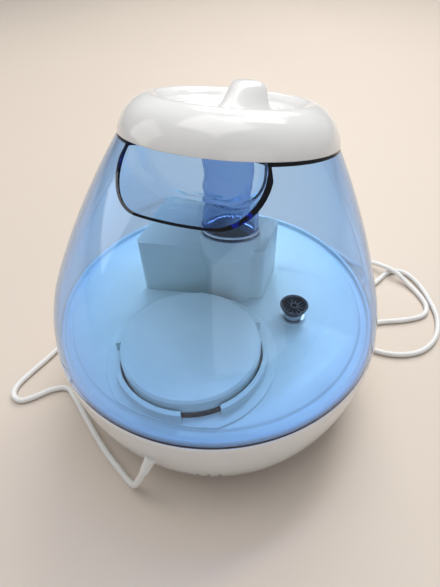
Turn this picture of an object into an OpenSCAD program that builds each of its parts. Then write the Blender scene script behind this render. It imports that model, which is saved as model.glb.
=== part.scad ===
// Cool mist humidifier: a white bowl base, a leaning drop-shaped clear blue water tank that
// lifts off it, and a slanted white cap with a turning mist nozzle.
// The front faces -Y, the cord leaves at the rear (+Y), and Z = 0 is the surface it stands on.

/* [Body] */
// Radius of the tank at its bottom rim
rim_r = 115; // [110:1:120]
// Height of the joint between the base and the tank
rim_z = 75; // [74:1:80]
// Forward tilt of the tank's own axis, in degrees
lean = 15.5; // [12:0.5:17]
// Wall of the tank
tank_wall = 2.5; // [2:0.1:3]
// Wall of the base shell
base_wall = 2.6; // [2:0.1:3]

/* [Cap and nozzle] */
// Distance along the leaning axis from the tank's widest place to its top rim
neck_s = 129.2; // [128:0.2:131]
// Wall of the cap
cap_wall = 2.4; // [2:0.1:3]
// Radius of the turning nozzle disc
nozzle_r = 33.8; // [33:0.2:34]

/* [Fill cap] */
// Radius of the fill cap's disc
fill_r = 44.6; // [43:0.2:44.8]
// Distance of the fill cap behind the centre
fill_y = 52; // [51:0.5:52.5]
// Height of the fill cap's disc above the tank floor
fill_h = 14.5; // [12:0.5:16]

/* [Mist chamber and tube] */
// Height of the mist chamber's roof above the rim
chamber_h = 46; // [42:1:48]
// Outer radius of the mist tube at its foot
tube_foot_r = 18.2; // [17:0.2:18.4]
// Outer radius of the mist tube at its top
tube_top_r = 20; // [19:0.2:20.4]

/* [Valve] */
// Radius of the ribbed rubber valve cup
valve_cup_r = 9.7; // [9:0.1:10]
// Lift of the valve when the tank is seated
valve_travel = 4; // [3:0.5:4]

/* [Cord] */
// Diameter of the cord
cord_d = 4.5; // [4.2:0.1:4.6]
// Radius of the coil at the middle of its turns
coil_r = 25; // [25:0.5:26]

/* [Hidden] */

$fn = 72;
fit = 0.05;            // radial clearance of small turning fits
gap = 0.3;             // clearance between separate bodies

// The bowl: an upright ellipse of revolution with a rounded foot
bowl_r = rim_r + 0.6;
bowl_mid_z = rim_z - 3;
bowl_b = 137;
bowl_low_z = 16;       // where the side meets the foot's fillet
foot_fillet = 14;
cover_r = 90;
foot_z = 4;            // underside of the bottom cover
cover_t = 2.5;
deck_z = 56;           // top of the water tray's floor
deck_t = 2.5;
floor_under = rim_z - 2.5;
floor_top = rim_z + 1.5;
floor_r = rim_r - 3.2;

// The leaning drop: a sphere round drop_c, then a wider arc up to the neck
drop_r = rim_r + 0.5;
drop_z = rim_z - 11.3;
arc_r = 495;
arc_start = 19.3;      // latitude where the sphere turns into the wider arc, in degrees
arc_c = [(drop_r - arc_r) * cos(arc_start), (drop_r - arc_r) * sin(arc_start)];

// The handle pocket in the tank's rear
pocket_back_y = 11;
pocket_back_z = 169;
pocket_half_w = 40;
pocket_slope = 0.327;
pocket_corner = 24;

// The mist chamber and the tube above it
chamber_pts = [[56, 6.3], [-32, -11.3], [-32, -50], [56, -50]];
chamber_in = [[53.5, 3.2], [-29.5, -13.4], [-29.5, -47.5], [53.5, -47.5]];
chamber_z = rim_z + chamber_h;
tube_foot = [-6, -18, chamber_z + 2];
tube_lean = [14.5, 3.3, 0];
tube_len = 66;
mist_r = 16;           // hole in the chamber's roof

well = [-6, -20];      // centre of the transducer well
tower = [30, -24];     // centre of the air outlet
valve_xy = [-57.5, -2.4];
fill_xy = [-3.4, fill_y];
fill_ring_r = 48;      // finger rim under the fill cap
float_xy = [58, -58];
fan_xy = [42, -24];

knob_z = 32;
knob_r = 15.5;
knob_pocket_y = -103;
lens_turn = 16;
lens_z = 46;

cord_exit = [0, 113.4, 48];
relief_tip = [3.5, 120, 38];
coil_c = [-42, -132];
coil_half = cord_d + 0.1;

// Wires inside the base, from the cord and from the dial
mains_wire = [[0, 106.8, 48], [-3, 98, 46], [-9, 88, 41], [-10, 78, 37], [-11, 66, 34.5], [-12, 56, 33.3]];
dial_wire = [[0, -94, 21], [-8, -86, 19], [-24, -66, 18], [-38, -46, 17], [-39, -32, 18.2]];

// The free cord from the strain relief to the coil
lead_route = [
    [3.5, 120, 38], [7, 122, 29], [11, 122.5, 19], [15.5, 121, 9.5], [22, 118, 3.4], [31, 113.5, 2.4],
    [45, 106.5, 2.4], [57, 99.5, 2.4], [70, 91, 2.4], [84, 81.5, 2.4], [96, 73.5, 2.4], [107, 68, 2.4],
    [118, 73, 2.4], [129, 85, 2.4], [137, 90.5, 2.4], [145, 88, 2.4], [148, 80, 2.4], [146, 67, 2.4],
    [140, 42, 2.4], [134, 10, 2.4], [125, -26, 2.4], [113, -64, 2.4], [97, -102, 2.4], [76, -138, 2.4],
    [46, -167, 2.4], [8, -184, 2.4], [-32, -189, 2.4], [-68, -183, 2.4], [-95, -171, 3], [-113, -163, 7.2],
    [-130, -157, 7.2], [-146, -146, 3], [-157, -134, 2.4], [-163, -121, 2.4], [-160, -109, 2.4],
    [-145, -98, 2.4], [-124, -88, 2.4], [-110, -77, 2.4], [-110, -62, 2.4], [-124, -54, 2.4],
    [-144, -56, 2.4], [-162, -67, 2.4], [-172, -86, 2.4], [-173, -109, 2.4], [-165, -132, 2.4],
    [-153, -153, 2.4], [-139, -164, 2.4], [-125, -160, 2.4], [-116, -143, 2.4], [-106, -125, 2.4],
    [-88, -112.5, 2.4], [-64, -106, 2.4], [-42, -104.7, 2.4]
];
// The short tail from the coil's upper turn to the plug
tail_route = [
    [-42, -104.7, 7], [-28, -105.5, 6.8], [-16, -109.5, 6.6], [-5, -116, 7.2], [6, -121, 7.5]
];
plug_p = [6, -121, 7.5];
plug_turn = -20;

function norm3(v) = v / norm(v);

// Bowl radius at height z
function bowl_at(z) = bowl_r * sqrt(1 - pow((bowl_mid_z - z) / bowl_b, 2));

// Slope of the bowl's side at height z, in degrees from upright
function bowl_slope(z) = atan(pow(bowl_r / bowl_b, 2) * (bowl_mid_z - z) / bowl_at(z));

// Outer line of the bowl, inset by t, from the rim down to the middle of the foot
function bowl_line(t, top) = let (
    a = bowl_slope(bowl_low_z),
    c = [bowl_at(bowl_low_z) - foot_fillet * cos(a), bowl_low_z + foot_fillet * sin(a)]
) concat(
    [for (i = [0:8]) let (z = top - (top - bowl_low_z) * i / 8) [bowl_at(min(z, bowl_mid_z)) - t, z]],
    [for (i = [1:5]) let (b = -a - (90 - a) * i / 5)
        [c[0] + (foot_fillet - t) * cos(b), c[1] + (foot_fillet - t) * sin(b)]]
);

// Line of the leaning drop, inset by t, from below the rim up to s along its axis
function drop_line(t, top) = let (
    s1 = (drop_r - t) * sin(arc_start),
    a2 = asin((top - arc_c[1]) / (arc_r - t))
) concat(
    [for (i = [0:8]) let (a = -14 + (arc_start + 14) * i / 8) [(drop_r - t) * cos(a), (drop_r - t) * sin(a)]],
    [for (i = [1:14]) let (a = arc_start + (a2 - arc_start) * i / 14)
        [arc_c[0] + (arc_r - t) * cos(a), arc_c[1] + (arc_r - t) * sin(a)]]
);

// Rounds each corner of a convex outline with radius r
function rounded(pts, r, n = 5) = [
    for (i = [0:len(pts) - 1])
        let (
            p = pts[i], a = pts[(i + len(pts) - 1) % len(pts)], b = pts[(i + 1) % len(pts)],
            u = (a - p) / norm(a - p), v = (b - p) / norm(b - p),
            half = acos(u * v) / 2, m = (u + v) / norm(u + v), c = p + m * r / sin(half),
            t1 = p + u * r / tan(half), t2 = p + v * r / tan(half)
        )
        for (k = [0:n]) let (q = (t1 - c) * (1 - k / n) + (t2 - c) * k / n) c + q / norm(q) * r
];

// A point on the smooth curve through a route, between points i and i + 1
function route_at(r, i, t) = let (
    p0 = r[max(i - 1, 0)], p1 = r[i], p2 = r[i + 1], p3 = r[min(i + 2, len(r) - 1)]
) 0.5 * (2 * p1 + (p2 - p0) * t + (2 * p0 - 5 * p1 + 4 * p2 - p3) * t * t
    + (3 * p1 - p0 - 3 * p2 + p3) * t * t * t);

// The rings' centres: each span is cut in equal steps about `step` long
function route_points(r, step) = concat(
    [for (i = [0:len(r) - 2]) let (n = max(1, round(norm(r[i + 1] - r[i]) / step)))
        for (k = [0:n - 1]) route_at(r, i, k / n)],
    [r[len(r) - 1]]
);

// Places children in the leaning drop's own frame, with Z along its axis
module on_axis() translate([0, 0, drop_z]) rotate([lean, 0, 0]) children();

module along_tube() translate(tube_foot) rotate(tube_lean) children();

// A tube swept along points, closed at both ends
module swept_tube(pts, d, sides) {
    n = len(pts);
    dirs = [for (i = [0:n - 1]) norm3(pts[min(i + 1, n - 1)] - pts[max(i - 1, 0)])];
    rings = [for (i = [0:n - 1]) let (
            w = dirs[i], u = norm3(cross([0, 0, 1] + [0.01, 0.02, 0], w)), v = cross(w, u)
        ) [for (k = [0:sides - 1]) pts[i] + d / 2 * (cos(360 * k / sides) * u + sin(360 * k / sides) * v)]];
    points = [for (r = rings) each r];
    skin = [for (i = [0:n - 2]) for (k = [0:sides - 1]) let (
            k2 = (k + 1) % sides, a = i * sides + k, b = a + sides, c = (i + 1) * sides + k2, d = i * sides + k2
        ) each [[a, b, c], [a, c, d]]];
    polyhedron(points, concat(
        skin,
        [[for (k = [0:sides - 1]) k]],
        [[for (k = [sides - 1:-1:0]) (n - 1) * sides + k]]
    ));
}

module ring_solid(ro, ri, h) difference() {
    cylinder(h = h, r = ro);
    translate([0, 0, -1]) cylinder(h = h + 2, r = ri);
}

module base_shell() color("white") difference() {
    rotate_extrude($fn = 120) polygon(concat(
        [[rim_r - 2, rim_z - 0.3], [rim_r - 0.4, rim_z - 0.3], [rim_r + 0.3, rim_z - 1.2]],
        bowl_line(0, rim_z - 3),
        [[cover_r - 4, foot_z + cover_t + 0.3], [cover_r - 4, foot_z + cover_t + 2.8]],
        [for (i = [len(bowl_line(base_wall, rim_z - 9)) - 2:-1:0]) bowl_line(base_wall, rim_z - 9)[i]],
        [[rim_r - 5.5, rim_z - 8.5], [rim_r - 5.5, rim_z - 6], [rim_r - 2, rim_z - 6]]
    ));
    knob_bore(knob_r + 4.5);
    rotate([0, 0, lens_turn]) translate([0, -rim_r + 12, lens_z]) rotate([90, 0, 0]) cylinder(h = 20, r = 3);
    translate([0, rim_r - 12, cord_exit[2]]) rotate([-90, 0, 0]) cylinder(h = 20, r = 4);
    // Air intake slots in the rear of the bowl
    for (i = [0:5]) rotate([0, 0, 2.4 + 3.8 * i])
        translate([-1.2, rim_r - 14, 18]) cube([2.4, 20, 11]);
}

module knob_bore(r) translate([0, knob_pocket_y + 2.5, knob_z]) rotate([90, 0, 0]) cylinder(h = 30, r = r);

// The cup behind the control knob
module knob_cup() color("white") difference() {
    intersection() {
        knob_bore(knob_r + 4.5);
        rotate_extrude($fn = 120) polygon(concat([[0, rim_z - 9]], bowl_line(0, rim_z - 9), [[0, 2]]));
    }
    translate([0, knob_pocket_y, knob_z]) rotate([90, 0, 0]) cylinder(h = 30, r = knob_r + 2);
    translate([0, knob_pocket_y + 5, knob_z]) rotate([90, 0, 0]) cylinder(h = 30, r = 3.6);
}

module water_tray() color("white") difference() {
    translate([0, 0, deck_z - deck_t]) cylinder(h = deck_t, r = rim_r - 12, $fn = 120);
    translate([well[0], well[1], 40]) cylinder(h = 40, r = 17);
    translate([tower[0] - 12.5, tower[1] - 10.5, 40]) cube([25, 21, 40]);
    translate([float_xy[0], float_xy[1], 40]) cylinder(h = 40, r = 1.6);
}

module tray_wall() color("white") rotate_extrude($fn = 120) polygon([
    [rim_r - 12, deck_z - deck_t], [rim_r - 9.5, deck_z - deck_t], [rim_r - 5.6, rim_z - 5.9],
    [rim_r - 2.4, rim_z - 5.9], [rim_r - 2.4, rim_z - 3.4], [rim_r - 5, rim_z - 3.4], [rim_r - 8.5, rim_z - 6],
    [rim_r - 12, deck_z]
]);

module tray_posts() color("white") for (a = [0:90:270]) rotate([0, 0, a])
    translate([78, 0, foot_z + cover_t + 0.1]) difference() {
        cylinder(h = deck_z - deck_t - foot_z - cover_t - 0.1, r = 4.5);
        translate([0, 0, -1]) cylinder(h = 24, r = 1.6);
    }

module mist_well() color("white") translate([well[0], well[1], 0]) difference() {
    translate([0, 0, 33.5]) cylinder(h = deck_z - deck_t - 33.5, r = 19.5);
    translate([0, 0, 36]) cylinder(h = 40, r = 17);
    translate([0, 0, 30]) cylinder(h = 10, r = 9);
    // Holes for the transducer clamp's screws
    for (a = [45, 225]) rotate([0, 0, a]) translate([14.5, 0, 30]) cylinder(h = 5.5, r = 1.1);
}

module air_outlet() color("white") difference() {
    translate([tower[0] - 15, tower[1] - 13, deck_z]) cube([30, 26, rim_z - 5 - deck_z]);
    translate([tower[0] - 12.5, tower[1] - 10.5, deck_z - 1]) cube([25, 21, 40]);
}

module float_post() color("white") translate([float_xy[0], float_xy[1], deck_z]) difference() {
    cylinder(h = 14, r = 3);
    translate([0, 0, -1]) cylinder(h = 13, r = 1.6);
}

module bottom_cover() color("whitesmoke") difference() {
    translate([0, 0, foot_z]) cylinder(h = cover_t, r = cover_r, $fn = 120);
    for (i = [-4:4]) translate([fan_xy[0] - 1.5 + 5 * i, fan_xy[1] - 18, 0]) cube([3, 36, 20]);
    for (a = [0:90:270]) rotate([0, 0, a]) translate([78, 0, 0]) {
        cylinder(h = 20, r = 1.7);
        cylinder(h = foot_z + 1, r = 3.4);
    }
}

// Posts under the fan and the circuit board
module cover_bosses() color("whitesmoke") translate([0, 0, foot_z + cover_t]) {
    for (x = [-21, 21], y = [-21, 21]) translate([fan_xy[0] + x, fan_xy[1] + y, 0]) cylinder(h = 2.5, r = 3);
    for (x = [-66, -34], y = [-28, 28]) translate([x, y, 0]) cylinder(h = 5.5, r = 2.5);
}

module rubber_feet() color("dimgray") for (x = [-1, 1], y = [-1, 1])
    translate([54 * x, 54 * y, 0]) {
        cylinder(h = 1, r1 = 7.2, r2 = 8);
        translate([0, 0, 1]) cylinder(h = foot_z - 1, r = 8);
    }

module cover_screws() color("silver") for (a = [0:90:270]) rotate([0, 0, a]) translate([78, 0, 0])
    difference() {
        union() {
            translate([0, 0, foot_z - 1.2]) cylinder(h = 2.1, r = 3);
            translate([0, 0, foot_z]) cylinder(h = 14, r = 1.5);
        }
        translate([-2, -0.4, foot_z - 2]) cube([4, 0.8, 1.8]);
        translate([-0.4, -2, foot_z - 2]) cube([0.8, 4, 1.8]);
    }

module transducer_disc() color("goldenrod") translate([well[0], well[1], 31.9]) {
    cylinder(h = 1.2, r = 10);
    translate([0, 0, 1.2]) cylinder(h = 0.3, r = 8);
}

module transducer_seal() color("darkslategray") translate([well[0], well[1], 30.9])
    difference() {
        cylinder(h = 2.5, r = 12);
        translate([0, 0, 1]) cylinder(h = 1.3, r = 10);
        translate([0, 0, -1]) cylinder(h = 5, r = 8.6);
    }

module transducer_clamp() color("lightgray") translate([well[0], well[1], 0]) difference() {
    union() {
        translate([0, 0, 28.3]) cylinder(h = 2.5, r = 19);
        translate([0, 0, 30.8]) ring_solid(19, 12.2, 2.6);
    }
    translate([0, 0, 20]) cylinder(h = 20, r = 7);
    for (a = [45, 225]) rotate([0, 0, a]) translate([14.5, 0, 20]) cylinder(h = 20, r = 1.1);
}

module clamp_screws() color("silver") for (a = [45, 225]) translate([well[0], well[1], 0])
    rotate([0, 0, a]) translate([14.5, 0, 26.6]) {
        cylinder(h = 1.6, r = 2);
        cylinder(h = 8, r = 1);
    }

module drive_board() color("darkgreen") difference() {
    translate([-70, -34, 12.1]) cube([40, 68, 1.6]);
    for (x = [-66, -34], y = [-28, 28]) translate([x, y, 5]) cylinder(h = 20, r = 1.2);
}

module board_components() color("black") {
    translate([-62, -10, 13.8]) cube([14, 4, 22]);
    translate([-52, 14, 13.8]) cylinder(h = 16, r = 5);
    translate([-64, 14, 13.8]) cylinder(h = 12, r = 4);
    translate([-60, -26, 13.8]) cube([12, 9, 9]);
    translate([-44, -24, 13.8]) cube([10, 12, 3]);
    translate([-44, 4, 13.8]) cube([8, 8, 2]);
}

module power_module() color("gold") {
    translate([-26, 34, foot_z + cover_t + 0.1]) cube([46, 30, 3]);
    translate([-22, 37, foot_z + cover_t + 3.1]) cube([20, 24, 22]);
    translate([6, 49, foot_z + cover_t + 3.1]) cylinder(h = 18, r = 7);
}

module fan_housing() color("dimgray") translate([fan_xy[0], fan_xy[1], foot_z + cover_t + 2.6]) difference() {
    translate([-25, -25, 0]) cube([50, 50, 15]);
    difference() {
        translate([0, 0, -1]) cylinder(h = 20, r = 23.3);
        cylinder(h = 1.6, r = 10);
        cylinder(h = 6, r = 3);
        for (a = [0:120:240]) rotate([0, 0, a]) translate([0, -1.5, 0]) cube([24, 3, 1.6]);
    }
    translate([0, 0, -1]) cylinder(h = 10, r = 1.5 + fit);
    for (x = [-21, 21], y = [-21, 21]) translate([x, y, -1]) cylinder(h = 20, r = 1.8);
}

module fan_rotor() color("black") translate([fan_xy[0], fan_xy[1], foot_z + cover_t + 2.6]) {
    difference() {
        translate([0, 0, 2.2]) cylinder(h = 11, r = 10);
        translate([0, 0, 1]) cylinder(h = 10.5, r = 8.6);
    }
    cylinder(h = 12, r = 1.5);
    for (a = [0:360 / 7:359]) rotate([0, 0, a]) translate([9.5, 0, 7.5]) rotate([38, 0, 0])
        translate([0, -0.6, -6]) cube([12.6, 1.2, 12]);
}

module air_duct() color("gainsboro") difference() {
    union() {
        translate([fan_xy[0] - 25, fan_xy[1] - 25, 24.2]) cube([50, 50, 8]);
        translate([tower[0] - 15, tower[1] - 13, 30]) cube([30, 26, 23.4]);
    }
    translate([fan_xy[0] - 23, fan_xy[1] - 23, 23]) cube([46, 46, 7.4]);
    translate([tower[0] - 12.5, tower[1] - 10.5, 24]) cube([25, 21, 40]);
}

module valve_lift_pin() color("white") translate([valve_xy[0], valve_xy[1], deck_z]) {
    cylinder(h = 1, r = 5);
    cylinder(h = 6.4, r = 2);
}

module reed_switch() color("lightgreen") translate([float_xy[0], float_xy[1], deck_z - 4])
    cylinder(h = 15, r = 1.4);

module float_ring() color("white") translate([float_xy[0], float_xy[1], deck_z + 0.3]) difference() {
    ring_solid(11, 3.3, 8);
    translate([0, 0, 4]) ring_solid(8, 5, 10);
}

module float_magnet() color("dimgray") translate([float_xy[0], float_xy[1], deck_z + 4.4])
    ring_solid(7.9, 5.1, 2.5);

module dial_potentiometer() color("slategray") translate([0, knob_pocket_y + 2.6, knob_z]) rotate([-90, 0, 0])
    difference() {
        union() {
            cylinder(h = 9, r = 8.5);
            translate([-7, 8, 3]) cube([14, 6, 2]);
        }
        translate([0, 0, -1]) cylinder(h = 5, r = 3 + fit);
    }

module control_knob() color("steelblue") translate([0, knob_pocket_y - 1, knob_z]) rotate([90, 0, 0]) {
    difference() {
        union() {
            cylinder(h = 8, r = knob_r);
            translate([0, 0, 8]) cylinder(h = 3, r1 = knob_r, r2 = knob_r - 2.5);
        }
        for (a = [0:20:340]) rotate([0, 0, a]) translate([knob_r + 0.6, 0, -1]) cylinder(h = 20, r = 1.5);
        translate([-0.9, 5, 10.2]) cube([1.8, 9, 3]);
    }
    translate([0, 0, -6.5]) cylinder(h = 7, r = 3);
}

module indicator_lens() color("lightcyan") rotate([0, 0, lens_turn])
    translate([0, -bowl_at(lens_z) + 3.4, lens_z]) rotate([90, 0, 0]) {
        cylinder(h = 3.8, r = 2.9);
        translate([0, 0, -1]) cylinder(h = 1.1, r = 4);
    }

module indicator_led() color("lime") rotate([0, 0, lens_turn])
    translate([0, -bowl_at(lens_z) + 10, lens_z]) rotate([90, 0, 0]) {
        cylinder(h = 5, r = 2.4);
        cylinder(h = 1, r = 3);
    }

module inner_wiring() color("firebrick") {
    swept_tube(route_points(mains_wire, 9), 3, 8);
    swept_tube(route_points(dial_wire, 9), 2.4, 8);
}

module cord_grommet() color("white") {
    translate([0, rim_r - 8, cord_exit[2]]) rotate([-90, 0, 0]) cylinder(h = 7.4, r = 3.9);
    translate([0, rim_r - 7.5, cord_exit[2]]) rotate([-90, 0, 0]) cylinder(h = 2, r = 6);
    dir = relief_tip - cord_exit;
    translate(cord_exit) rotate([0, 0, atan2(dir[1], dir[0])]) rotate([0, 90 - asin(dir[2] / norm(dir)), 0])
        cylinder(h = norm(dir), r1 = 3.9, r2 = 2.8);
}

module drop_solid(t, top) on_axis() rotate_extrude($fn = 120)
    polygon(concat([[0, drop_line(t, top)[0][1]]], drop_line(t, top), [[0, top]]));

// The hand's space in the tank's rear, grown by t
module pocket_form(t) hull() for (p = [[75, 46], [20, pocket_half_w], [pocket_back_y, 30]])
    let (y = p[0] - (p[0] < 15 ? t : 0), w = p[1] + t, z = pocket_back_z + pocket_slope * (y - pocket_back_y) - t) {
        for (sx = [-1, 1]) translate([sx * (w - pocket_corner), y, z + pocket_corner]) rotate([-90, 0, 0])
            cylinder(h = 0.02, r = pocket_corner, $fn = 40);
        translate([-w, y, z + pocket_corner]) cube([2 * w, 0.02, 225 - z - pocket_corner]);
    }

module tank_shell() color([0.45, 0.6, 0.9, 0.5]) difference() {
    union() {
        difference() {
            drop_solid(0, neck_s);
            drop_solid(tank_wall, neck_s - 3);
        }
        intersection() {
            drop_solid(0, neck_s);
            pocket_form(tank_wall);
        }
    }
    pocket_form(0);
    translate([-150, -150, -30]) cube([300, 300, rim_z + 30]);
    along_tube() cylinder(h = 120, r = tube_top_r + 0.15);
}

module tank_floor() color("lightblue") difference() {
    union() {
        rotate_extrude($fn = 120) polygon([
            [0, floor_under], [floor_r, floor_under], [floor_r, rim_z + 2], [floor_r - 0.8, rim_z + 2.8],
            [floor_r - 2.6, rim_z + 2.8], [floor_r - 3.4, rim_z], [floor_r - 7.8, rim_z],
            [floor_r - 9, floor_top], [0, floor_top]
        ]);
        translate([valve_xy[0], valve_xy[1], floor_under]) cylinder(h = 5, r = 9);
    }
    // Openings under the mist chamber and the fill cap
    translate([0, 0, floor_under - 1]) linear_extrude(20) polygon(rounded(chamber_in, 2.5));
    translate([tube_foot[0], tube_foot[1], floor_under - 1]) cylinder(h = 20, r = 17.5);
    translate([fill_xy[0], fill_xy[1], floor_under - 1]) cylinder(h = 30, r = 46.3);
    translate([valve_xy[0], valve_xy[1], floor_under - 1]) cylinder(h = 20, r = 6.4);
}

// Step ring and bayonet collar round the fill opening, with four notches
module fill_collar() color("lightblue") difference() {
    union() {
        intersection() {
            translate([fill_xy[0], fill_xy[1], floor_top]) cylinder(h = 1.6, r = 55.5);
            cylinder(h = 200, r = floor_r - 9.2);
            translate([-100, 4.5, 0]) cube(200);
        }
        translate([fill_xy[0], fill_xy[1], floor_top]) cylinder(h = 9, r = 49.5);
    }
    translate([fill_xy[0], fill_xy[1], floor_top - 1]) cylinder(h = 30, r = 46.3);
    for (a = [30:90:300]) rotate_notch(a) translate([-11.5, 40, floor_top + 1.6]) cube([23, 16, 12]);
}

module mist_chamber() color("lightblue") difference() {
    union() {
        translate([0, 0, floor_top]) linear_extrude(chamber_z - floor_top) polygon(rounded(chamber_pts, 4));
        translate([tube_foot[0], tube_foot[1], floor_top]) cylinder(h = chamber_z - floor_top, r = 20);
        intersection() {
            along_tube() translate([0, 0, -12]) cylinder(h = 16, r = 20.6);
            translate([-100, -100, chamber_z - 3]) cube([200, 200, 20]);
        }
    }
    translate([0, 0, floor_top - 1]) linear_extrude(chamber_z - floor_top - 1.5) polygon(rounded(chamber_in, 2.5));
    translate([tube_foot[0], tube_foot[1], floor_top - 1]) cylinder(h = chamber_z - floor_top - 1.5, r = 17.5);
    translate([tube_foot[0], tube_foot[1], 90]) cylinder(h = 60, r = mist_r);
    along_tube() translate([0, 0, -0.1]) cylinder(h = 20, r = tube_foot_r + 0.1);
}

module rotate_notch(a) translate([fill_xy[0], fill_xy[1], 0]) rotate([0, 0, a]) children();

module mist_tube() color([0.25, 0.4, 0.8, 0.6]) along_tube() difference() {
    union() {
        cylinder(h = tube_len, r1 = tube_foot_r, r2 = tube_top_r);
        translate([0, 0, 4.2]) cylinder(h = 1.6, r = tube_foot_r + 1.6);
    }
    translate([0, 0, -1]) cylinder(h = tube_len + 2, r1 = tube_foot_r - 2, r2 = tube_top_r - 2);
}

module tube_gasket() color("white") along_tube() translate([0, 0, 5.9])
    ring_solid(tube_foot_r + 1.6, tube_foot_r + 0.35, 1.4);

module valve_seat() color("silver") translate([valve_xy[0], valve_xy[1], floor_under + 1]) difference() {
    union() {
        cylinder(h = 9.5, r = 6.3);
        translate([0, 0, 4.1]) cylinder(h = 1, r = 8);
    }
    translate([0, 0, 1]) cylinder(h = 20, r = 4.6);
    translate([0, 0, -1]) cylinder(h = 4, r = 2);
    for (a = [0:120:240]) rotate([0, 0, a]) translate([3.4, 0, -1]) cylinder(h = 4, r = 0.9);
    for (a = [0:60:300]) rotate([0, 0, a]) translate([6.8, 0, 5.6]) cylinder(h = 10, r = 0.8);
}

module valve_stem() color("gray") translate([valve_xy[0], valve_xy[1], deck_z + 6.7]) {
    cylinder(h = 1.5, r = 4);
    cylinder(h = 22, r = 1.6);
    for (a = [0:60:300]) rotate([0, 0, a]) translate([0, -0.5, 14]) cube([4.2, 1, 4.9]);
}

module valve_cup() color([0.08, 0.08, 0.1]) translate([valve_xy[0], valve_xy[1], floor_under + 10.8]) {
    difference() {
        cylinder(h = 5.2, r1 = 7.2, r2 = valve_cup_r);
        translate([0, 0, 1.4]) cylinder(h = 5, r1 = 5.6, r2 = valve_cup_r - 0.9);
        translate([0, 0, -1]) cylinder(h = 10, r = 1.7);
    }
    for (a = [0:30:330]) rotate([0, 0, a]) translate([2.6, -0.45, 1]) cube([5.2, 0.9, 2.4]);
    translate([0, 0, 1]) ring_solid(3, 1.7, 3.4);
}

module valve_spring() color("silver") translate([valve_xy[0], valve_xy[1], deck_z + 8.3])
    swept_tube([for (i = [0:48]) let (a = i * 30) [3.1 * cos(a), 3.1 * sin(a), 0.35 + 8.4 * i / 48]], 0.6, 6);

module fill_cap() color("lightblue") translate([fill_xy[0], fill_xy[1], 0]) difference() {
    union() {
        rotate_extrude($fn = 100) polygon([
            [0, floor_top + fill_h - 3], [fill_r - 3, floor_top + fill_h - 3], [fill_r - 3, floor_under - 2.5],
            [fill_r - 3, floor_under - 3], [fill_ring_r, floor_under - 3], [fill_ring_r, floor_under - 0.6],
            [fill_r, floor_under - 0.6], [fill_r, floor_top + fill_h - 1.6], [fill_r - 1.6, floor_top + fill_h],
            [0, floor_top + fill_h]
        ]);
        for (a = [75:90:345]) rotate([0, 0, a]) translate([fill_r - 0.4, -5, floor_top + 2]) cube([1.6, 10, 2]);
        // Finger bar across the underside
        translate([-42, -2, floor_under - 3]) cube([84, 4, floor_top + fill_h - 2 - floor_under]);
    }
    for (a = [0:12:348]) rotate([0, 0, a]) translate([fill_ring_r + 0.6, 0, floor_under - 4]) cylinder(h = 5, r = 1.4);
}

module fill_cap_gasket() color([0.05, 0.07, 0.1]) translate([fill_xy[0], fill_xy[1], floor_top - 1.2])
    ring_solid(fill_r + 1.5, fill_r + 0.1, 2);

// Line of the cap in the leaning frame, from its skirt up over the ridge and into the dish
cap_line = [
    [67, 0], [66.3, 3.5], [65, 7], [63.4, 10], [61.3, 13], [58.6, 15.8], [55.4, 18.2], [51.8, 20.2], [48.4, 21.1],
    [45.2, 20.8], [42.4, 18.6], [40, 16.2], [37, 14.9], [34.2, 14.6]
];

module top_cap() color("white") on_axis() translate([0, 0, neck_s]) difference() {
    rotate_extrude($fn = 120) polygon(concat(
        cap_line,
        [[34.2, 12], [30, 12], [30, 9.6], [36, 9.6], [39, 11.6], [42, 13.6], [45, 16], [48, 17.8], [51, 17.2],
            [54, 15.4], [57, 13], [59.6, 10], [61.6, 7], [63, 3.5], [63.6, 0]]
    ));
}

module nozzle() color("white") on_axis() translate([0, 0, neck_s]) rotate([0, 0, -10]) difference() {
    union() {
        translate([0, 0, 12.1]) cylinder(h = 2.3, r = nozzle_r, $fn = 96);
        translate([0, 0, 7.5]) ring_solid(30 - gap, 27.5, 5);
        intersection() {
            hull() {
                translate([0, -21, 18.8]) sphere(r = 10.5, $fn = 32);
                translate([0, 12, 14]) sphere(r = 3.5, $fn = 24);
                translate([0, -17, 13]) cylinder(h = 1, r = 16.5, $fn = 40);
            }
            translate([-40, -40, 12.4]) cube([80, 80, 30]);
        }
    }
    // Mist passage, open below and forward
    hull() {
        translate([0, -20.5, 17.5]) sphere(r = 8.4, $fn = 28);
        translate([0, 0, 6]) cylinder(h = 1, r = 7, $fn = 28);
        translate([0, -13, 6]) cylinder(h = 1, r = 11, $fn = 28);
    }
    translate([-8, -45, 14.8]) cube([16, 25, 7]);
}

module cord_lead() color("white") swept_tube(route_points(lead_route, 15), cord_d, 8);

module cord_coil() color("white") translate([coil_c[0], coil_c[1], 0.15])
    rotate_extrude($fn = 64) translate([coil_r - coil_half, 0]) square([2 * coil_half, 2 * cord_d + 0.2]);

module cord_tail() color("white") swept_tube(route_points(tail_route, 8), cord_d, 8);

module cord_tie() color("black") translate([coil_c[0] - coil_r, coil_c[1], 4.8]) difference() {
    translate([-6.2, -2, -4.7]) cube([12.4, 4, 11.1]);
    translate([-4.8, -3, -4.8]) cube([9.6, 6, 9.6]);
}

module power_plug() color("white") translate(plug_p) rotate([0, 0, plug_turn]) {
    rotate([0, 90, 0]) cylinder(h = 9, r1 = 3, r2 = 5);
    translate([9, -9, -7]) cube([8, 18, 14]);
    translate([17, -13, -7]) cube([16, 26, 14]);
}

module plug_pins() color("silver") translate(plug_p) rotate([0, 0, plug_turn]) for (y = [-9.3, 9.3])
    translate([33, y, 0]) rotate([0, 90, 0]) {
        cylinder(h = 17, r = 2, $fn = 24);
        translate([0, 0, 17]) cylinder(h = 2, r1 = 2, r2 = 1, $fn = 24);
    }

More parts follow.
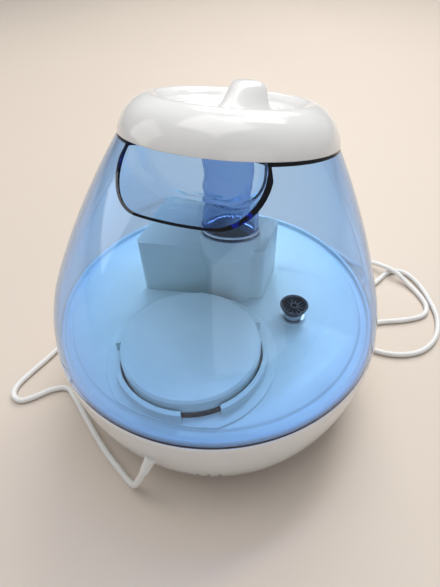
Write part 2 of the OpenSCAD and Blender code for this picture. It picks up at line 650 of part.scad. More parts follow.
base_shell();
knob_cup();
water_tray();
tray_wall();
tray_posts();
mist_well();
air_outlet();
float_post();
bottom_cover();
cover_bosses();
rubber_feet();
cover_screws();
transducer_disc();
transducer_seal();
transducer_clamp();
clamp_screws();
drive_board();
board_components();
power_module();
fan_housing();
air_duct();
valve_lift_pin();
reed_switch();
dial_potentiometer();
indicator_lens();
indicator_led();
inner_wiring();
cord_grommet();
fan_rotor();
control_knob();
float_ring();
float_magnet();
tank_shell();
tank_floor();
fill_collar();
mist_chamber();
mist_tube();
tube_gasket();
valve_seat();
top_cap();
fill_cap();
fill_cap_gasket();
valve_stem();
valve_cup();
valve_spring();
nozzle();
cord_lead();
cord_coil();
cord_tail();
cord_tie();
power_plug();
plug_pins();
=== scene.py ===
"""Looks of the cool mist humidifier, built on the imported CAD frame. Lengths are in metres."""
import math

import bmesh
import bpy
from mathutils import Matrix, Vector


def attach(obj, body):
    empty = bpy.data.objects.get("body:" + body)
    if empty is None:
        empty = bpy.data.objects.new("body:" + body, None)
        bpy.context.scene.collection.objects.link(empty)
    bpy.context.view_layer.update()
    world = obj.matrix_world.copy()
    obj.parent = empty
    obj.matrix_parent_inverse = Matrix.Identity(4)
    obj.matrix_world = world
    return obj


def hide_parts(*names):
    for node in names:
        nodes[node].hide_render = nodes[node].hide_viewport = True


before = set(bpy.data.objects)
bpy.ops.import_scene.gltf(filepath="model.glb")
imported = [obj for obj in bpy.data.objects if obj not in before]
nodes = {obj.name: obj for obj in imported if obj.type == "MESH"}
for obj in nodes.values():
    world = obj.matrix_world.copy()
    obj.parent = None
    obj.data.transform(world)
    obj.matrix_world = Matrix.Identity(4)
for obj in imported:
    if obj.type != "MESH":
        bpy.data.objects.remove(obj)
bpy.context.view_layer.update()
scene = bpy.context.scene
MM = 0.001

# Measures that the CAD model is built from, in millimetres and degrees.
# The tank is a drop turned about an axis that leans forward: a ball below, a long arc above, a flat neck.
RIM_R, RIM_Z, LEAN = 115.0, 75.0, 15.5
DROP_R, DROP_Z, DROP_LOW = 115.5, 63.7, -0.2443
ARC_R, ARC_START = 495.0, math.radians(19.3)
ARC_C = ((DROP_R - ARC_R) * math.cos(ARC_START), (DROP_R - ARC_R) * math.sin(ARC_START))
NECK_S = 129.2
WALL = 2.5
BOWL_R, BOWL_DEPTH, BOWL_WALL = RIM_R + 0.6, 137.0, 2.6
LIP_Z = RIM_Z - 3
TUBE_FOOT, TUBE_R, TUBE_LEN = (-6.0, -18.0, 123.0), 18.2, 66
NECK_R = 20.0
KNOB_Z, KNOB_R = 32.0, 15.5
LENS_Z, LENS_TURN = 46, 16
VENTS, VENT_FIRST, VENT_STEP = 6, 2.4, 3.8
FILL_AT, FILL_TURN = (-3.4, 52.0, 0), 30
HOOD_TURN, HOOD_Y = -10.0, -20
CAP_TOP = 12.1
CORD_D = 4.5


# ---------------------------------------------------------------- camera

def axes_matrix(x, y, z, origin):
    """The placement whose axes and origin are the given vectors."""
    return Matrix((
        (x.x, y.x, z.x, origin.x),
        (x.y, y.y, z.y, origin.y),
        (x.z, y.z, z.z, origin.z),
        (0, 0, 0, 1),
    ))


def make_camera():
    """Stands behind the tank, above it and a little to its left, and looks down at the fill cap."""
    eye = Vector((-88.6, 208.7, 310.4)) * MM
    ahead = Vector((0.2655, -0.6536, -0.7088)).normalized()
    roll = math.radians(-2.294)
    side = ahead.cross(Vector((0, 0, 1))).normalized()
    up = side.cross(ahead)
    right = side * math.cos(roll) + up * math.sin(roll)
    top = up * math.cos(roll) - side * math.sin(roll)
    data = bpy.data.cameras.new("Camera")
    data.lens = 27.05
    data.sensor_width = 36.0
    data.clip_start = 0.01
    cam = bpy.data.objects.new("Camera", data)
    scene.collection.objects.link(cam)
    cam.matrix_world = axes_matrix(right, top, -ahead, eye)
    scene.camera = cam


# ---------------------------------------------------------------- materials

def new_material(name):
    mat = bpy.data.materials.new(name)
    mat.use_nodes = True
    return mat, mat.node_tree, mat.node_tree.nodes["Principled BSDF"]


def noise(tree, vector, scale, detail):
    node = tree.nodes.new("ShaderNodeTexNoise")
    node.inputs["Scale"].default_value = scale
    node.inputs["Detail"].default_value = detail
    tree.links.new(vector, node.inputs["Vector"])
    return node


def bump_from(tree, height, strength, distance, shader):
    """Feeds a noise into the shader's normal."""
    node = tree.nodes.new("ShaderNodeBump")
    node.inputs["Strength"].default_value = strength
    node.inputs["Distance"].default_value = distance
    tree.links.new(height.outputs["Fac"], node.inputs["Height"])
    tree.links.new(node.outputs["Normal"], shader.inputs["Normal"])


def roughness_from(tree, field, low, high, shader):
    """Spreads the shader's roughness between two values, by a noise."""
    node = tree.nodes.new("ShaderNodeMapRange")
    node.inputs["To Min"].default_value = low
    node.inputs["To Max"].default_value = high
    tree.links.new(field.outputs["Fac"], node.inputs["Value"])
    tree.links.new(node.outputs["Result"], shader.inputs["Roughness"])


def surface(name, color, rough, *, tint=0.05, grain=700.0, bump=0.03, blotch=45.0, spread=0.06,
            metallic=0.0, coat=0.0, spec=0.5, stretch=(1, 1, 1), translucent=0.0):
    """A moulded, cast or drawn surface: fine grain in the bump, soft blotches in colour and gloss."""
    mat, tree, shader = new_material(name)
    shader.inputs["Metallic"].default_value = metallic
    shader.inputs["Coat Weight"].default_value = coat
    shader.inputs["Coat Roughness"].default_value = 0.06
    shader.inputs["Specular IOR Level"].default_value = spec
    if translucent:
        shader.inputs["Subsurface Weight"].default_value = translucent
        shader.inputs["Subsurface Radius"].default_value = (0.004, 0.004, 0.004)
        shader.inputs["Subsurface Scale"].default_value = 0.6
    coords = tree.nodes.new("ShaderNodeTexCoord")
    place = tree.nodes.new("ShaderNodeMapping")
    place.inputs["Scale"].default_value = stretch
    tree.links.new(coords.outputs["Object"], place.inputs["Vector"])

    fine = noise(tree, place.outputs["Vector"], grain, 3.0)
    bump_from(tree, fine, bump, 0.0006, shader)

    wide = noise(tree, place.outputs["Vector"], blotch, 5.0)
    wide.inputs["Roughness"].default_value = 0.6
    ramp = tree.nodes.new("ShaderNodeValToRGB")
    dark, light = ramp.color_ramp.elements
    dark.position, light.position = 0.3, 0.7
    dark.color = [c * (1 - tint) for c in color] + [1]
    light.color = [min(1.0, c * (1 + tint * 0.5)) for c in color] + [1]
    tree.links.new(wide.outputs["Fac"], ramp.inputs["Fac"])
    tree.links.new(ramp.outputs["Color"], shader.inputs["Base Color"])
    roughness_from(tree, wide, max(0.02, rough - spread), rough + spread, shader)
    return mat


def clear_plastic(name, keep, density, *, rough=0.02, ior=1.49, wave=0.006):
    """Clear moulded plastic, coloured by the light its thickness takes away. Lamps shine through it."""
    mat, tree, shader = new_material(name)
    shader.inputs["Base Color"].default_value = (1, 1, 1, 1)
    shader.inputs["Transmission Weight"].default_value = 1.0
    shader.inputs["IOR"].default_value = ior
    coords = tree.nodes.new("ShaderNodeTexCoord").outputs["Object"]
    bump_from(tree, noise(tree, coords, 26.0, 2.0), wave, 0.001, shader)
    roughness_from(tree, noise(tree, coords, 60.0, 4.0), rough * 0.4, rough * 1.6, shader)
    open_way = tree.nodes.new("ShaderNodeBsdfTransparent")
    path = tree.nodes.new("ShaderNodeLightPath")
    mix = tree.nodes.new("ShaderNodeMixShader")
    tree.links.new(path.outputs["Is Shadow Ray"], mix.inputs["Fac"])
    tree.links.new(shader.outputs["BSDF"], mix.inputs[1])
    tree.links.new(open_way.outputs["BSDF"], mix.inputs[2])
    out = tree.nodes["Material Output"]
    tree.links.new(mix.outputs["Shader"], out.inputs["Surface"])
    depth = tree.nodes.new("ShaderNodeVolumeAbsorption")
    depth.inputs["Color"].default_value = (*keep, 1)
    depth.inputs["Density"].default_value = density
    tree.links.new(depth.outputs["Volume"], out.inputs["Volume"])
    return mat


M = {
    "white_shell": surface("gloss_white", (0.83, 0.83, 0.815), 0.16, tint=0.03, bump=0.012, coat=0.25,
                           spread=0.05, translucent=0.04),
    "floor_plastic": surface("tank_floor_plastic", (0.66, 0.75, 0.71), 0.3, tint=0.05, bump=0.03,
                             grain=900),
    "clear_blue": clear_plastic("clear_blue", (0.06, 0.52, 0.95), 165.0),
    "tube_blue": clear_plastic("tube_blue", (0.22, 0.46, 0.80), 300.0),
    "black_rubber": surface("black_rubber", (0.004, 0.005, 0.010), 0.3, tint=0.3, bump=0.05, coat=0.1,
                            spec=0.25),
    "foot_rubber": surface("foot_rubber", (0.16, 0.16, 0.16), 0.75, tint=0.15, bump=0.2, grain=1100),
    "screw_steel": surface("steel", (0.55, 0.55, 0.56), 0.3, tint=0.12, bump=0.08, grain=500, metallic=1.0,
                           stretch=(1, 1, 6)),
    "cast_aluminium": surface("cast_aluminium", (0.6, 0.6, 0.62), 0.48, tint=0.15, bump=0.25, metallic=1.0),
    "brass_disc": surface("brass", (0.75, 0.57, 0.27), 0.3, tint=0.15, bump=0.06, metallic=1.0),
    "board_green": surface("board_green", (0.02, 0.16, 0.06), 0.4, tint=0.2, bump=0.12, grain=450),
    "black_plastic": surface("black_plastic", (0.022, 0.022, 0.025), 0.45, tint=0.25, bump=0.12, grain=900),
    "lens_clear": surface("lens", (0.72, 0.82, 0.88), 0.12, tint=0.05, bump=0.02, coat=0.5, translucent=0.3),
    "cord_white": surface("cord_white", (0.80, 0.80, 0.78), 0.38, tint=0.06, bump=0.06, grain=1400,
                          blotch=70),
    "knob_plastic": surface("knob_blue", (0.10, 0.22, 0.62), 0.22, tint=0.08, bump=0.03, coat=0.3),
    "pin_chrome": surface("pin_chrome", (0.72, 0.72, 0.74), 0.14, tint=0.1, bump=0.03, metallic=1.0),
}
wire_red = surface("wire_red", (0.5, 0.04, 0.03), 0.4, tint=0.1, bump=0.05)


# ---------------------------------------------------------------- mesh helpers

def piece(name, mesh, body, slot, stands_for=(), material=None, sharp=35.0):
    """One smooth-shaded object that rides on a body and takes the place of the CAD nodes it stands for."""
    obj = bpy.data.objects.new(name, mesh)
    scene.collection.objects.link(obj)
    mesh.materials.clear()
    mesh.materials.append(material or M[slot])
    mesh.polygons.foreach_set("use_smooth", [True] * len(mesh.polygons))
    mesh.polygons.foreach_set("material_index", [0] * len(mesh.polygons))
    mesh.set_sharp_from_angle(angle=math.radians(sharp))
    mesh.update()
    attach(obj, body)
    if stands_for:
        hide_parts(*stands_for)
    return obj


def clean_mesh(name, verts, faces):
    """A mesh from millimetre points, with doubled points merged and its faces turned outwards."""
    mesh = bpy.data.meshes.new(name)
    mesh.from_pydata([Vector(v) * MM for v in verts], [], faces)
    bm = bmesh.new()
    bm.from_mesh(mesh)
    bmesh.ops.remove_doubles(bm, verts=bm.verts, dist=2e-6)
    bmesh.ops.recalc_face_normals(bm, faces=bm.faces)
    bm.to_mesh(mesh)
    bm.free()
    return mesh


def revolve(name, line, steps=192, place=Matrix.Identity(4)):
    """Turns a closed outline of (r, z) points about Z, then puts it in place. All in millimetres."""
    verts, faces = [], []
    count = len(line)
    for i in range(steps):
        a = 2 * math.pi * i / steps
        verts += [place @ Vector((r * math.cos(a), r * math.sin(a), z)) for r, z in line]
    for i in range(steps):
        j = (i + 1) % steps
        for k in range(count):
            m = (k + 1) % count
            quad = [i * count + k, j * count + k, j * count + m, i * count + m]
            k_on_axis, m_on_axis = line[k][0] < 1e-9, line[m][0] < 1e-9
            if k_on_axis and m_on_axis:
                continue
            if k_on_axis:
                quad.remove(j * count + k)
            if m_on_axis:
                quad.remove(j * count + m)
            faces.append(quad)
    return clean_mesh(name, verts, faces)


def curve_through(points, per=8):
    """Catmull-Rom points through a route of any dimension."""
    out = []
    for i in range(len(points) - 1):
        a, b = points[max(i - 1, 0)], points[i]
        c, d = points[i + 1], points[min(i + 2, len(points) - 1)]
        for k in range(per):
            t = k / per
            out.append(tuple(
                0.5 * (2 * q + (r - p) * t + (2 * p - 5 * q + 4 * r - s) * t * t
                       + (3 * q - p - 3 * r + s) * t ** 3)
                for p, q, r, s in zip(a, b, c, d)
            ))
    out.append(tuple(points[-1]))
    return out


def rounded_outline(points, radius, per=6):
    """Rounds the corners of a flat closed outline: one radius for all, or a list with one for each."""
    out = []
    n = len(points)
    for i in range(n):
        p = Vector(points[i])
        u = (Vector(points[i - 1]) - p).normalized()
        v = (Vector(points[(i + 1) % n]) - p).normalized()
        half = u.angle(v) / 2
        r = radius if not hasattr(radius, "__len__") else radius[i]
        mid = p + (u + v).normalized() * (r / math.sin(half))
        a, b = p + u * (r / math.tan(half)), p + v * (r / math.tan(half))
        for k in range(per + 1):
            q = (a - mid) * (1 - k / per) + (b - mid) * (k / per)
            out.append(tuple(mid + q.normalized() * r))
    return out


def loft(name, rings):
    """Skins rings that have the same number of 3-D points, and closes both ends."""
    verts = [p for ring in rings for p in ring]
    n = len(rings[0])
    faces = []
    for i in range(len(rings) - 1):
        for k in range(n):
            m = (k + 1) % n
            faces.append([i * n + k, i * n + m, (i + 1) * n + m, (i + 1) * n + k])
    faces.append(list(range(n))[::-1])
    faces.append([(len(rings) - 1) * n + k for k in range(n)])
    return clean_mesh(name, verts, faces)


def prism(name, outline, z0, z1, place=Matrix.Identity(4)):
    """A flat outline carried from one height to another."""
    rings = [[place @ Vector((x, y, z)) for x, y in outline] for z in (z0, z1)]
    return loft(name, rings)


def combine(mesh, *steps):
    """Runs exact booleans on a mesh: steps are pairs of an operation and the other mesh."""
    for operation, other in steps:
        a = bpy.data.objects.new("boolean_a", mesh)
        b = bpy.data.objects.new("boolean_b", other)
        scene.collection.objects.link(a)
        scene.collection.objects.link(b)
        mod = a.modifiers.new("boolean", "BOOLEAN")
        mod.operation = operation
        mod.solver = "EXACT"
        mod.object = b
        bpy.context.view_layer.update()
        done = bpy.data.meshes.new_from_object(a.evaluated_get(bpy.context.evaluated_depsgraph_get()))
        bpy.data.objects.remove(a)
        bpy.data.objects.remove(b)
        mesh = done
    return mesh


def bevelled(mesh, width, segments, angle=32.0):
    """Rounds every edge that is sharper than the angle."""
    obj = bpy.data.objects.new("bevel_a", mesh)
    scene.collection.objects.link(obj)
    mod = obj.modifiers.new("bevel", "BEVEL")
    mod.width = width * MM
    mod.segments = segments
    mod.limit_method = "ANGLE"
    mod.angle_limit = math.radians(angle)
    mod.miter_outer = "MITER_ARC"
    mod.use_clamp_overlap = True
    bpy.context.view_layer.update()
    done = bpy.data.meshes.new_from_object(obj.evaluated_get(bpy.context.evaluated_depsgraph_get()))
    bpy.data.objects.remove(obj)
    return done


def refined(node, body, slot, width, segments=2):
    """A CAD solid of plain moulded shape, redone with rounded edges."""
    mesh = nodes[node].data.copy()
    bm = bmesh.new()
    bm.from_mesh(mesh)
    bmesh.ops.remove_doubles(bm, verts=bm.verts, dist=1e-6)
    bmesh.ops.dissolve_limit(bm, angle_limit=math.radians(0.6), verts=bm.verts, edges=bm.edges)
    bm.to_mesh(mesh)
    bm.free()
    if width:
        mesh = bevelled(mesh, width, segments)
    return piece(node + "_detail", mesh, body, slot, (node,), sharp=40.0)


# ---------------------------------------------------------------- cord

# The lead's route from the grommet to the coil, and from the coil to the plug
LEAD = [
    (3.5, 120, 38), (7, 122, 29), (11, 122.5, 19), (15.5, 121, 9.5), (22, 118, 3.4), (31, 113.5, 2.4),
    (45, 106.5, 2.4), (57, 99.5, 2.4), (70, 91, 2.4), (84, 81.5, 2.4), (96, 73.5, 2.4), (107, 68, 2.4),
    (118, 73, 2.4), (129, 85, 2.4), (137, 90.5, 2.4), (145, 88, 2.4), (148, 80, 2.4), (146, 67, 2.4),
    (140, 42, 2.4), (134, 10, 2.4), (125, -26, 2.4), (113, -64, 2.4), (97, -102, 2.4), (76, -138, 2.4),
    (46, -167, 2.4), (8, -184, 2.4), (-32, -189, 2.4), (-68, -183, 2.4), (-95, -171, 3), (-113, -163, 7.2),
    (-130, -157, 7.2), (-146, -146, 3), (-157, -134, 2.4), (-163, -121, 2.4), (-160, -109, 2.4),
    (-145, -98, 2.4), (-124, -88, 2.4), (-110, -77, 2.4), (-110, -62, 2.4), (-124, -54, 2.4),
    (-144, -56, 2.4), (-162, -67, 2.4), (-172, -86, 2.4), (-173, -109, 2.4), (-165, -132, 2.4),
    (-153, -153, 2.4), (-139, -164, 2.4), (-125, -160, 2.4), (-116, -143, 2.4), (-106, -125, 2.4),
    (-88, -112.5, 2.4), (-64, -106, 2.4),
]
COIL_AT, COIL_R, COIL_GAP = (-42, -132), 25.0, 2.3
COIL_LOW, COIL_HIGH = 2.4, 7.0
TAIL = [(-28, -105.5, 6.8), (-16, -109.5, 6.6), (-5, -116, 7.2), (6, -121, 7.5)]


def coil_points(turns=3, per=18):
    """Clockwise from the coil's rear: in on the lower layer, then back out on the upper one."""
    out = []
    for i in range(turns * per + 1):
        t = i / per
        a = math.pi / 2 - 2 * math.pi * t
        if t < 1:
            r, z = COIL_R + COIL_GAP - 2 * COIL_GAP * t, COIL_LOW
        elif t < 2:
            r, z = COIL_R - COIL_GAP, COIL_LOW + (COIL_HIGH - COIL_LOW) * min(1.0, (t - 1) * 1.6)
        else:
            r, z = COIL_R - COIL_GAP + 2 * COIL_GAP * (t - 2), COIL_HIGH
        out.append((COIL_AT[0] + r * math.cos(a), COIL_AT[1] + r * math.sin(a), z))
    return out


def make_cord():
    """The mains cord as one round tube, with its plug, pins and tie."""
    route = curve_through(LEAD + coil_points() + TAIL, 8)
    data = bpy.data.curves.new("mains_cord", "CURVE")
    data.dimensions = "3D"
    data.bevel_depth = CORD_D / 2 * MM
    data.bevel_resolution = 5
    data.use_fill_caps = True
    line = data.splines.new("POLY")
    line.points.add(len(route) - 1)
    for point, co in zip(line.points, route):
        point.co = (*(c * MM for c in co), 1)
    line.use_smooth = True
    obj = bpy.data.objects.new("mains_cord", data)
    scene.collection.objects.link(obj)
    data.materials.append(M["cord_white"])
    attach(obj, "base")
    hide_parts("cord_lead", "cord_coil", "cord_tail")
    plug = refined("power_plug", "base", "cord_white", 1.6, 4)
    pins = refined("plug_pins", "base", "pin_chrome", 0.0)
    tie = refined("cord_tie", "base", "black_plastic", 0.4)


# ---------------------------------------------------------------- base

def bowl_at(z):
    """The bowl's outer radius at a height: a quarter ellipse under the lip."""
    return BOWL_R * math.sqrt(1 - ((LIP_Z - z) / BOWL_DEPTH) ** 2)


def bowl_line(inset, top, count=40):
    """The bowl's side from a height down to the fillet that runs under its base."""
    low, fillet = 16.0, 14.0
    slope = math.atan((BOWL_R / BOWL_DEPTH) ** 2 * (LIP_Z - low) / bowl_at(low))
    cx, cz = bowl_at(low) - fillet * math.cos(slope), low + fillet * math.sin(slope)
    line = [(bowl_at(top - (top - low) * i / count) - inset, top - (top - low) * i / count)
            for i in range(count + 1)]
    for i in range(1, 13):
        a = -slope - (math.pi / 2 - slope) * i / 12
        line.append((cx + (fillet - inset) * math.cos(a), cz + (fillet - inset) * math.sin(a)))
    return line


def bore(name, radius, near, far, steps, place):
    """A round cutter, or a round boss, from one distance to another along its own axis."""
    return revolve(name, [(0, near), (radius, near), (radius, far), (0, far)], steps, place)


def make_base():
    """The white bowl with its rolled rim, knob cup, lamp hole, cord hole and row of vents."""
    outer = bowl_line(0, LIP_Z)
    inner = bowl_line(BOWL_WALL, RIM_Z - 9)[:-1][::-1]
    line = [(RIM_R - 2, RIM_Z - 0.5), (RIM_R - 1.6, RIM_Z - 0.3), (RIM_R - 0.6, RIM_Z - 0.3),
            (RIM_R - 0.1, RIM_Z - 0.5), (RIM_R + 0.3, RIM_Z - 1.2)] + outer
    line += [(86, 6.8), (86, 9.3)] + inner
    line += [(RIM_R - 5.5, RIM_Z - 8.5), (RIM_R - 5.5, RIM_Z - 6), (RIM_R - 2, RIM_Z - 6)]
    shell = revolve("base_bowl", line, 256)

    to_front = Matrix.Rotation(math.pi / 2, 4, "X")
    to_rear = Matrix.Rotation(-math.pi / 2, 4, "X")
    turn = Matrix.Translation((0, 0, KNOB_Z)) @ to_front
    cup = bore("cup", KNOB_R + 4.5, 100.5, 113, 64, turn)
    bowl = revolve("bowl", [(0, 66)] + bowl_line(1.0, 66) + [(0, 2.2)], 128)
    lamp = Matrix.Rotation(math.radians(LENS_TURN), 4, "Z") @ Matrix.Translation((0, 0, LENS_Z)) @ to_front
    rear = Matrix.Translation((0, 0, 48)) @ to_rear
    steps = [
        ("UNION", combine(cup, ("INTERSECT", bowl))),
        ("DIFFERENCE", bore("pocket", KNOB_R + 2, 103, 130, 96, turn)),
        ("DIFFERENCE", bore("shaft_hole", 3.6, 95, 110, 32, turn)),
        ("DIFFERENCE", bore("lamp_hole", 3, 104, 130, 32, lamp)),
        ("DIFFERENCE", bore("cord_hole", 4, 100, 130, 32, rear)),
    ]
    slot = rounded_outline([(-1.2, 18), (1.2, 18), (1.2, 29), (-1.2, 29)], 1.15, 4)
    for i in range(VENTS):
        spin = Matrix.Rotation(math.radians(VENT_FIRST + VENT_STEP * i), 4, "Z")
        rings = [[spin @ Vector((x, y, z)) for x, z in slot] for y in (98, 125)]
        steps.append(("DIFFERENCE", loft("slot", rings)))
    piece("base_bowl", combine(shell, *steps), "base", "white_shell", ("base_shell", "knob_cup"), sharp=28)


# ---------------------------------------------------------------- tank

def drop_line(inset, top, ball_steps=20, arc_steps=40):
    """The side of the drop: its ball, then its long arc up to a height along the leaning axis."""
    line = []
    for i in range(ball_steps + 1):
        a = DROP_LOW + (ARC_START - DROP_LOW) * i / ball_steps
        line.append(((DROP_R - inset) * math.cos(a), (DROP_R - inset) * math.sin(a)))
    last = math.asin((top - ARC_C[1]) / (ARC_R - inset))
    for i in range(1, arc_steps + 1):
        a = ARC_START + (last - ARC_START) * i / arc_steps
        line.append((ARC_C[0] + (ARC_R - inset) * math.cos(a), ARC_C[1] + (ARC_R - inset) * math.sin(a)))
    return line


# Where the drop and the mist tube stand
DROP = Matrix.Translation((0, 0, DROP_Z)) @ Matrix.Rotation(math.radians(LEAN), 4, "X")
TUBE = (Matrix.Translation(TUBE_FOOT) @ Matrix.Rotation(math.radians(3.3), 4, "Y")
        @ Matrix.Rotation(math.radians(14.5), 4, "X"))


def drop_mesh(name, inset, top):
    line = drop_line(inset, top)
    return revolve(name, [(0, line[0][1])] + line + [(0, top)], 224, DROP)


def pocket_mesh(grow):
    """The hand's space: U-shaped sections that narrow and sink towards its back wall."""
    rings = []
    for y, half in ((80, 46.6), (20, 40), (16.5, 38.0), (13.5, 35.2), (11.6, 31.8), (11, 28.5)):
        back = y - (grow if y < 15 else 0)
        w = half + grow
        z = 169 + 0.327 * (y - 11) - grow
        if y < 13:
            z += (13 - y) * 1.2
        r = min(24.0, w - 4) + grow * 0.4
        outline = rounded_outline([(-w, 226), (-w, z), (w, z), (w, 226)], [0.5, r, r, 0.5], 14)
        rings.append([(x, back, h) for x, h in outline])
    return loft("pocket", rings)


def make_tank():
    """The clear tank with its hand pocket, cut off at the rim, and the mist tube inside it."""
    shell = drop_mesh("tank_body", 0, NECK_S)
    hollow = drop_mesh("hollow", WALL, NECK_S - 3)
    outer = drop_mesh("outer", 0.02, NECK_S - 0.02)
    walls = combine(pocket_mesh(WALL), ("INTERSECT", outer))
    below = prism("below", [(-150, -150), (150, -150), (150, 150), (-150, 150)], -40, RIM_Z)
    top_hole = bore("hole", NECK_R + 0.15, 40, 90, 96, TUBE)
    mesh = combine(shell, ("DIFFERENCE", hollow), ("UNION", walls), ("DIFFERENCE", pocket_mesh(0)),
                   ("DIFFERENCE", below), ("DIFFERENCE", top_hole))
    piece("tank_body", mesh, "tank", "clear_blue", ("tank_shell",), sharp=32)

    def radius(t):
        return TUBE_R + (NECK_R - TUBE_R) * t

    rise = (0.2, 0.4, 0.6, 0.8, 0.96)
    tube = [(TUBE_R - 2, 0.3), (TUBE_R - 1.6, 0), (TUBE_R - 0.4, 0), (TUBE_R, 0.4), (TUBE_R + 0.1, 4.0),
            (TUBE_R + 1.6, 4.2), (TUBE_R + 1.6, 5.8), (TUBE_R + 0.15, 6.0)]
    tube += [(radius(t), TUBE_LEN * t) for t in rise]
    tube += [(NECK_R, TUBE_LEN - 0.4), (NECK_R - 0.5, TUBE_LEN), (NECK_R - 1.5, TUBE_LEN),
             (NECK_R - 2, TUBE_LEN - 0.5)]
    tube += [(radius(t) - 2, TUBE_LEN * t) for t in reversed(rise)]
    wall = revolve("mist_tube_wall", tube, 128, TUBE)
    piece("mist_tube_wall", wall, "tank", "clear_blue", ("mist_tube",), M["tube_blue"])


def make_collar():
    """The stepped bayonet collar round the fill opening, with four notches."""
    place = Matrix.Translation(FILL_AT)
    step_z, low, high = 78.1, 70, 90
    line = [(46.3, 76.5), (46.3, 85.2), (46.6, 85.5), (49.2, 85.5), (49.5, 85.2), (49.5, 78.5),
            (49.9, step_z), (55.0, step_z), (55.5, 77.7), (55.5, 76.5)]
    front = [(-90, -90), (90, -90), (90, 4.5), (-90, 4.5)]
    notch = [(-11.5, 40), (11.5, 40), (11.5, 56), (-11.5, 56)]
    steps = [("INTERSECT", bore("border", 102.6, low, high, 160, Matrix.Identity(4))),
             ("DIFFERENCE", prism("front", front, low, high))]
    for quarter in range(4):
        turn = place @ Matrix.Rotation(math.radians(FILL_TURN + 90 * quarter), 4, "Z")
        steps.append(("DIFFERENCE", prism("notch", notch, step_z, high, turn)))
    mesh = combine(revolve("collar", line, 160, place), *steps)
    piece("fill_collar_rim", mesh, "tank", "floor_plastic", ("fill_collar",))


def make_gasket():
    """The black sealing lip between the fill cap and its collar, seen through the collar's notches."""
    line = [(44.75, 75.3), (46.1, 75.3), (46.1, 80.6), (45.8, 81.1), (45.2, 81.3), (44.75, 81.0)]
    mesh = revolve("fill_cap_lip", line, 128, Matrix.Translation(FILL_AT))
    piece("fill_cap_lip", mesh, "filler", "black_rubber", ("fill_cap_gasket",))


def make_cap():
    """The slanted cap: a skirt that rolls over a ridge into a shallow dish with a stepped hole."""
    outer = [(66.9, 0), (66.95, 0.6), (66.3, 3.5), (65, 7), (63.4, 10), (61.3, 13), (58.6, 15.8),
             (55.4, 18.2), (51.8, 20.2), (48.4, 21.1), (45.2, 20.8), (42.4, 18.6), (40, 16.2), (37, 14.9),
             (34.6, 14.6)]
    step = [(34.25, 14.4), (34.2, 14.0), (34.2, 12), (30, 12), (30, 9.6), (36, 9.6)]
    under = [(39, 11.6), (42, 13.6), (45, 16), (48, 17.8), (51, 17.2), (54, 15.4), (57, 13), (59.6, 10),
             (61.6, 7), (63, 3.5), (63.6, 0)]
    line = curve_through(outer, 5) + step + curve_through(under, 3)
    place = DROP @ Matrix.Translation((0, 0, NECK_S))
    piece("cap_shell", revolve("cap_shell", line, 224, place), "tank", "white_shell", ("top_cap",), sharp=40)


def make_nozzle():
    """A thin disc with a rounded hood that flares out at its foot and opens forward."""
    place = DROP @ Matrix.Translation((0, 0, NECK_S)) @ Matrix.Rotation(math.radians(HOOD_TURN), 4, "Z")
    disc = [(0, 14.3), (33.2, 14.3), (33.7, 14.0), (33.8, 13.6), (33.8, CAP_TOP), (29.7, CAP_TOP),
            (29.7, 7.5), (27.5, 7.5), (27.5, CAP_TOP), (0, CAP_TOP)]
    mesh = revolve("nozzle_disc", disc, 160, place)

    # Height, half width, reach to the front and reach to the back of each section of the hood
    sections = [
        (13.0, 16.6, 13.6, 34.0), (14.5, 16.4, 13.4, 33.5), (15.3, 15.8, 12.6, 31.0),
        (16.6, 15.0, 12.0, 28.0), (18.6, 14.2, 11.4, 24.0), (21.0, 13.4, 10.9, 20.0),
        (23.5, 12.6, 10.2, 16.5), (25.7, 11.7, 9.2, 13.5), (27.4, 10.3, 7.7, 10.6),
        (28.6, 8.2, 5.5, 7.2), (29.2, 5.2, 3.0, 3.8), (29.35, 1.8, 1.0, 1.2),
    ]
    rings = []
    for h, half, front, back in sections:
        ring = []
        for k in range(64):
            a = 2 * math.pi * k / 64
            y = HOOD_Y + (front if math.cos(a) < 0 else back) * math.cos(a)
            taper = 1.0 - 0.45 * max(0.0, math.cos(a)) ** 1.5
            ring.append(place @ Vector((half * math.sin(a) * taper, y, h)))
        rings.append(ring)

    # Height of each section of the hollow, and its share of the hollow's full width
    inner = []
    for h, share in ((6.0, 0.9), (12.0, 0.9), (18.0, 0.86), (22.5, 0.76), (25.5, 0.52), (26.6, 0.25)):
        ring = []
        for k in range(40):
            a = 2 * math.pi * k / 40
            y = HOOD_Y + (10.0 * share if math.cos(a) < 0 else 13.0 * share) * math.cos(a)
            ring.append(place @ Vector((10.2 * share * math.sin(a), y, h)))
        inner.append(ring)

    mouth = rounded_outline([(-8, 15.2), (8, 15.2), (8, 21.8), (-8, 21.8)], 2.8, 6)
    way = loft("way", [[place @ Vector((x, y, z)) for x, z in mouth] for y in (-48, HOOD_Y)])
    mesh = combine(mesh, ("UNION", loft("hood", rings)), ("DIFFERENCE", loft("inner", inner)),
                   ("DIFFERENCE", way))
    piece("nozzle_detail", bevelled(mesh, 0.35, 2, 40), "mist_nozzle", "white_shell", ("nozzle",), sharp=30)


# ---------------------------------------------------------------- floor and studio

def area_lamp(name, size, power):
    lamp = bpy.data.lights.new(name, "AREA")
    lamp.shape = "RECTANGLE"
    lamp.size, lamp.size_y = size
    lamp.energy = power
    obj = bpy.data.objects.new(name, lamp)
    scene.collection.objects.link(obj)
    return obj


def make_floor():
    half = 3.0
    mesh = bpy.data.meshes.new("studio_floor")
    corners = [(-half, -half, 0), (half, -half, 0), (half, half, 0), (-half, half, 0)]
    mesh.from_pydata(corners, [], [[0, 1, 2, 3]])
    floor = bpy.data.objects.new("studio_floor", mesh)
    scene.collection.objects.link(floor)
    mesh.materials.append(surface("pale_floor", (0.66, 0.58, 0.50), 0.55, tint=0.02, bump=0.02, grain=60,
                                  blotch=2.0))


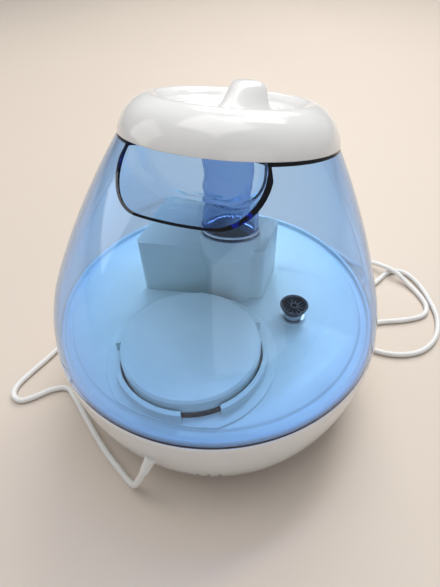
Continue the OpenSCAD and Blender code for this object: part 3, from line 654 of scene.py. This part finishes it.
def make_studio():
    """A pale floor, a dim sky, four soft lamps that face the tank, and a strip lamp for the cap's shine."""
    make_floor()
    world = bpy.data.worlds.new("studio")
    world.use_nodes = True
    world.node_tree.nodes["Background"].inputs["Color"].default_value = (0.93, 0.95, 1.0, 1)
    world.node_tree.nodes["Background"].inputs["Strength"].default_value = 0.30
    scene.world = world
    aim = Vector((0, 0, 0.1))
    for name, spot, size, power, color in (
        ("window", (0.15, -1.35, 1.25), (1.1, 0.8), 15.0, (1.0, 0.98, 0.95)),
        ("overhead", (0.2, -0.1, 1.9), (1.3, 1.3), 13.5, (1.0, 0.98, 0.96)),
        ("fill", (-1.2, 1.3, 0.9), (1.6, 1.2), 4.5, (0.95, 0.97, 1.0)),
        ("side", (1.5, 0.2, 0.8), (0.9, 1.0), 4.0, (1.0, 0.96, 0.92)),
    ):
        obj = area_lamp(name, size, power)
        obj.data.color = color
        obj.location = spot
        obj.rotation_mode = "QUATERNION"
        obj.rotation_quaternion = (aim - Vector(spot)).to_track_quat("-Z", "Y")

    # A long narrow lamp, whose reflection runs across the rear of the cap
    start, end = Vector((0.08, -0.46, 1.42)), Vector((-0.46, -0.87, 1.09))
    strip = area_lamp("strip", ((end - start).length, 0.16), 5.0)
    middle = (start + end) / 2
    along = (end - start).normalized()
    away = -(aim - middle).normalized()
    away = (away - along * away.dot(along)).normalized()
    strip.matrix_world = axes_matrix(along, away.cross(along), away, middle)

    scene.cycles.max_bounces = 28
    scene.cycles.transmission_bounces = 24
    scene.cycles.transparent_max_bounces = 24
    scene.view_settings.view_transform = "Standard"


# ---------------------------------------------------------------- everything

make_camera()
make_cord()
make_studio()
make_base()
make_tank()
make_collar()
make_gasket()
make_cap()
make_nozzle()

# Solids redone with rounded edges: node, body, slot and edge width in millimetres
for node, body, slot, width in (
    ("tank_floor", "tank", "floor_plastic", 0.4),
    ("mist_chamber", "tank", "floor_plastic", 0.7),
    ("fill_cap", "filler", "floor_plastic", 0.8),
    ("tube_gasket", "tank", "white_shell", 0.3),
    ("valve_seat", "tank", "screw_steel", 0.25),
    ("valve_stem", "valve", "floor_plastic", 0.2),
    ("valve_cup", "valve", "black_rubber", 0.25),
    ("control_knob", "knob", "knob_plastic", 0.5),
    ("water_tray", "base", "white_shell", 0.3),
    ("tray_wall", "base", "white_shell", 0.3),
    ("mist_well", "base", "white_shell", 0.4),
    ("air_outlet", "base", "white_shell", 0.4),
    ("float_post", "base", "white_shell", 0.3),
    ("bottom_cover", "base", "white_shell", 0.5),
    ("rubber_feet", "base", "foot_rubber", 0.5),
    ("cord_grommet", "base", "cord_white", 0.4),
    ("indicator_lens", "base", "lens_clear", 0.3),
    ("fan_rotor", "fan", "black_plastic", 0.25),
    ("fan_housing", "base", "black_plastic", 0.4),
    ("float_ring", "float", "white_shell", 0.5),
):
    refined(node, body, slot, width)

# Solids that stay as the CAD makes them: node and slot
for node, slot in (
    ("cover_screws", "screw_steel"), ("transducer_disc", "brass_disc"), ("transducer_seal", "black_rubber"),
    ("transducer_clamp", "cast_aluminium"), ("clamp_screws", "screw_steel"), ("drive_board", "board_green"),
    ("board_components", "black_plastic"), ("power_module", "board_green"), ("air_duct", "white_shell"),
    ("valve_lift_pin", "white_shell"), ("tray_posts", "white_shell"), ("cover_bosses", "white_shell"),
    ("valve_spring", "screw_steel"), ("reed_switch", "lens_clear"), ("dial_potentiometer", "screw_steel"),
    ("indicator_led", "lens_clear"), ("inner_wiring", None), ("float_magnet", "black_plastic"),
):
    data = nodes[node].data
    data.materials.clear()
    data.materials.append(M[slot] if slot else wire_red)
